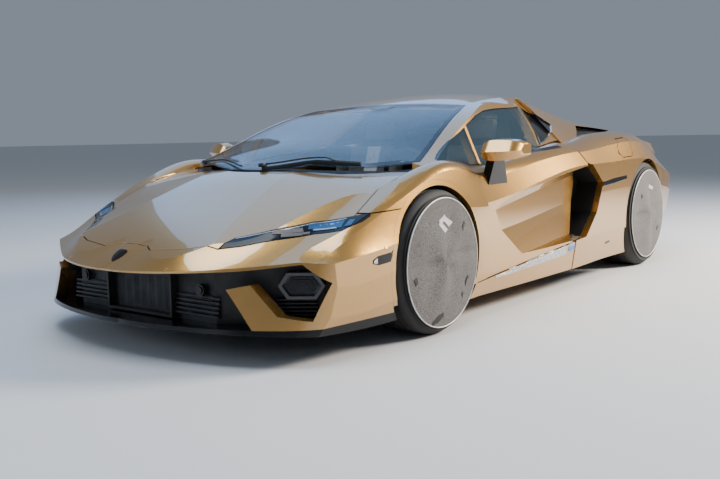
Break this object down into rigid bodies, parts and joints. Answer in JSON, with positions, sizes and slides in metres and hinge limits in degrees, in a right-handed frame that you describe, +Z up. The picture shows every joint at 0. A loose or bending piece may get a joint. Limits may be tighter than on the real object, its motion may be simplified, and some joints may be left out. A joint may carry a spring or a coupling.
{
  "type": "supercar",
  "caption": "Low mid-engined two-seat supercar with wedge nose, side air scoops, buttressed engine deck and covered wheels; doors, lids, steering and wheels move.",
  "frame": {"origin": "on the ground under the middle of the car's length, on the centre plane", "axes": "+Z up, nose along -Y, the car's left side along +X"},
  "size_m": [2.236, 4.7124, 1.2024],
  "materials": {
    "body_paint": "gold-bronze metallic, clear coat",
    "gloss_black": "gloss black",
    "matte_black": "satin black",
    "dark_lens": "smoked clear lens",
    "lamp_ring": "satin grey surround",
    "red_lens": "red lens",
    "glass": "tinted glazing",
    "tyre": "rubber",
    "dark_rim": "dark satin",
    "felt": "needled felt transport cover",
    "cast_metal": "cast",
    "aluminium": "forged",
    "steel": "heat-tinted",
    "pale_leather": "pale hide under a transport cover",
    "dark_leather": "dark hide"
  },
  "bodies": {
    "chassis": {"arch_lips": "body_paint", "bulkhead": "matte_black", "carrier_rear_left": "cast_metal", "carrier_rear_right": "cast_metal", "corner_lamps": "lamp_ring", "cowl": "matte_black", "dashboard": "dark_leather", "diffuser": "matte_black", "engine": "cast_metal", "exhaust": "steel", "fenders": "body_paint", "front_bumper": "body_paint", "front_grille": "matte_black", "front_splitter": "gloss_black", "headlamps": "dark_lens", "quarter_panels": "body_paint", "quarterlights": "glass", "rear_bumper": "body_paint", "rear_grille": "matte_black", "rear_spoiler": "body_paint", "roof": "body_paint", "roof_frame": "body_paint", "seats": "pale_leather", "side_intakes": "matte_black", "side_trim": "gloss_black", "sills": "body_paint", "suspension": "aluminium", "tail_lamps": "red_lens", "underbody": "matte_black", "wheel_liners": "matte_black", "windscreen": "glass", "wipers": "matte_black"},
    "hood_lid": {"hood": "body_paint"},
    "engine_lid": {"engine_cover": "body_paint", "engine_louvres": "gloss_black"},
    "fuel_lid": {"fuel_flap": "body_paint"},
    "door_left_body": {"door_left": "body_paint", "door_glass_left": "glass", "mirror_left": "body_paint", "mirror_arm_left": "gloss_black"},
    "door_right_body": {"door_right": "body_paint", "door_glass_right": "glass", "mirror_right": "body_paint", "mirror_arm_right": "gloss_black"},
    "steering_wheel_body": {"steering_wheel": "dark_leather"},
    "knuckle_left": {"carrier_front_left": "cast_metal"},
    "wheel_front_left": {"tyre_front_left": "tyre", "rim_front_left": "dark_rim", "cover_front_left": "felt"},
    "wheel_rear_left": {"tyre_rear_left": "tyre", "rim_rear_left": "dark_rim", "cover_rear_left": "felt"},
    "knuckle_right": {"carrier_front_right": "cast_metal"},
    "wheel_front_right": {"tyre_front_right": "tyre", "rim_front_right": "dark_rim", "cover_front_right": "felt"},
    "wheel_rear_right": {"tyre_rear_right": "tyre", "rim_rear_right": "dark_rim", "cover_rear_right": "felt"}
  },
  "joints": [
    {"name": "hood_lift", "type": "hinge", "parent": "chassis", "child": "hood_lid", "pos_m": [0, -1.149, 0.752], "axis": [-1, 0, 0], "range_deg": [0, 42]},
    {"name": "engine_cover_lift", "type": "hinge", "parent": "chassis", "child": "engine_lid", "pos_m": [0, 0.536, 1.183], "axis": [1, 0, 0], "range_deg": [0, 45]},
    {"name": "fuel_flap_swing", "type": "hinge", "parent": "chassis", "child": "fuel_lid", "pos_m": [0.963, 0.985, 0.817], "axis": [0, 0, -1], "range_deg": [0, 75]},
    {"name": "door_left_swing", "type": "hinge", "parent": "chassis", "child": "door_left_body", "pos_m": [0.966, -0.731, 0.5], "axis": [0, 0, -1], "range_deg": [0, 60]},
    {"name": "door_right_swing", "type": "hinge", "parent": "chassis", "child": "door_right_body", "pos_m": [-0.966, -0.731, 0.5], "axis": [0, 0, 1], "range_deg": [0, 60]},
    {"name": "steer_left", "type": "hinge", "parent": "chassis", "child": "knuckle_left", "pos_m": [0.8005, -1.195, 0.343], "axis": [0, 0, 1], "range_deg": [-30, 30]},
    {"name": "steer_right", "type": "hinge", "parent": "chassis", "child": "knuckle_right", "pos_m": [-0.8005, -1.195, 0.343], "axis": [0, 0, 1], "range_deg": [-30, 30]},
    {"name": "steering_wheel_turn", "type": "hinge", "parent": "chassis", "child": "steering_wheel_body", "pos_m": [0.386, -0.555, 0.69], "axis": [0, 0.9272, 0.3746], "range_deg": [-390, 390]},
    {"name": "wheel_front_left_spin", "type": "hinge", "parent": "knuckle_left", "child": "wheel_front_left", "pos_m": [0.861, -1.195, 0.343], "axis": [1, 0, 0], "continuous": true},
    {"name": "wheel_rear_left_spin", "type": "hinge", "parent": "chassis", "child": "wheel_rear_left", "pos_m": [0.835, 1.463, 0.364], "axis": [1, 0, 0], "continuous": true},
    {"name": "wheel_front_right_spin", "type": "hinge", "parent": "knuckle_right", "child": "wheel_front_right", "pos_m": [-0.861, -1.195, 0.343], "axis": [1, 0, 0], "continuous": true},
    {"name": "wheel_rear_right_spin", "type": "hinge", "parent": "chassis", "child": "wheel_rear_right", "pos_m": [-0.835, 1.463, 0.364], "axis": [1, 0, 0], "continuous": true}
  ],
  "couplings": [
    {"joint": "steer_right", "follows": "steer_left", "ratio": 1},
    {"joint": "steering_wheel_turn", "follows": "steer_left", "ratio": 12}
  ]
}
